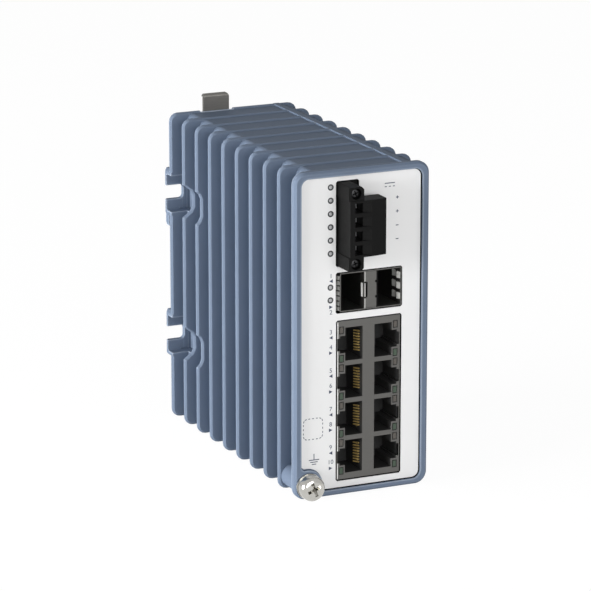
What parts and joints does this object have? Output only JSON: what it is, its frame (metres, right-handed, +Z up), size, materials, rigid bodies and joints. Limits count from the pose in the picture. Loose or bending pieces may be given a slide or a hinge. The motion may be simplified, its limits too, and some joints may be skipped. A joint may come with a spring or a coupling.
{
  "type": "din rail ethernet switch",
  "caption": "Tall narrow network switch in a finned die-cast housing, with stacked ports, module cages and a power plug on its front and a sprung rail latch at its back.",
  "frame": {"origin": "centre of the bounding box's footprint, at the flange's lower edge", "axes": "+X to the right seen from the front, -Y out of the front label, +Y towards the rail, +Z up"},
  "size_m": [0.053, 0.1286, 0.1259],
  "materials": {
    "housing_paint": "satin blue-grey powder coat on die-cast metal",
    "label_film": "satin pale printed film",
    "clear_plastic": "clear moulded light pipe, milky",
    "led": "small surface-mounted diode",
    "board": "green solder mask on glass-fibre board",
    "screw_steel": "zinc-plated steel",
    "screw_chrome": "bright nickel plating",
    "stamped_steel": "tin-plated stamped sheet",
    "jack_moulding": "dark grey glass-filled moulding",
    "black_moulding": "black glass-filled moulding",
    "contact_gold": "gold-plated contact wire",
    "lamp_amber": "unlit amber lamp",
    "lamp_green": "unlit green lamp",
    "chip": "moulded chip package",
    "pad": "soft thermal pad",
    "winding": "taped core and winding",
    "can": "sleeved can",
    "spring_steel": "spring steel",
    "latch_steel": "zinc-plated folded steel strip"
  },
  "bodies": {
    "switch": {"main_housing": "housing_paint", "side_cover": "housing_paint", "cover_screws": "screw_steel", "front_label": "label_film", "status_light_pipes": "clear_plastic", "status_leds": "led", "main_board": "board", "power_board": "board", "board_screws": "screw_steel", "port_shield": "stamped_steel", "port_insulator": "jack_moulding", "port_contacts": "contact_gold", "port_lights_upper": "lamp_amber", "port_lights_lower": "lamp_green", "cage_shell": "stamped_steel", "cage_springs": "spring_steel", "cage_middle_strip": "stamped_steel", "cage_gasket": "spring_steel", "cage_connectors": "jack_moulding", "terminal_header": "black_moulding", "header_pins": "screw_steel", "terminal_plug": "black_moulding", "plug_contacts": "screw_steel", "plug_flange_screws": "screw_steel", "switch_chip": "chip", "processor_chip": "chip", "thermal_pads": "pad", "memory_chips": "chip", "board_link": "black_moulding", "power_transformer": "winding", "power_inductors": "chip", "power_capacitors": "can", "power_transistors": "chip", "ground_screw": "screw_chrome", "ground_lock_washer": "screw_chrome", "ground_flat_washer": "screw_chrome", "latch_spring": "spring_steel", "latch_guide_screws": "screw_steel"},
    "latch": {"rail_latch": "latch_steel"}
  },
  "joints": [
    {"name": "latch_slide", "type": "slide", "parent": "switch", "child": "latch", "axis": [0, 0, -1], "range_m": [0, 0.004], "stiffness_N_per_m": 1500, "springref_m": -0.004, "deforming": ["latch_spring"]}
  ]
}
